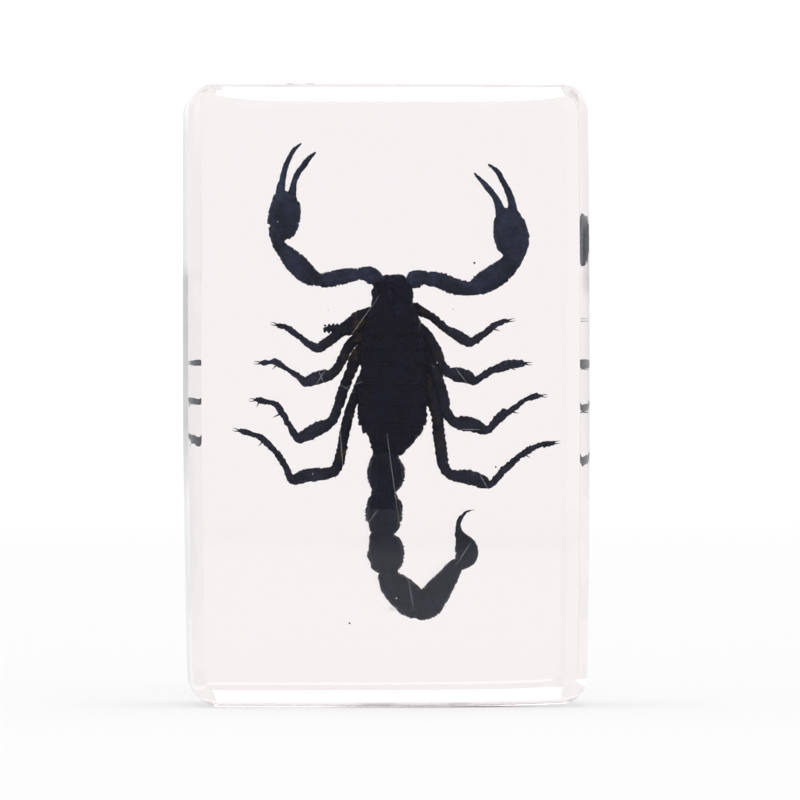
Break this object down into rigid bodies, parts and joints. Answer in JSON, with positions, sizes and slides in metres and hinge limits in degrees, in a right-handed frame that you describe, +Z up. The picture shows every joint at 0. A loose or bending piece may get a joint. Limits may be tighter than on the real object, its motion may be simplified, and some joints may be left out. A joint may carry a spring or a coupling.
{
  "type": "scorpion in resin block",
  "caption": "Dried scorpion with a curled, sting-tipped tail, cast in a clear upright block of resin with cut edges and corners.",
  "frame": {"origin": "centre of the bounding box's bottom face, on the surface that the block stands on", "axes": "+Z up along the block's height, -Y out of the front face that shows the scorpion's back, +X to the right as seen from the front"},
  "size_m": [0.0484, 0.025, 0.075],
  "materials": {
    "dried_cuticle": "satin dried cuticle sealed in resin",
    "clear_resin": "polished clear cast resin"
  },
  "bodies": {
    "root": {"scorpion": "dried_cuticle", "block_front": "clear_resin", "block_back": "clear_resin"}
  },
  "joints": []
}
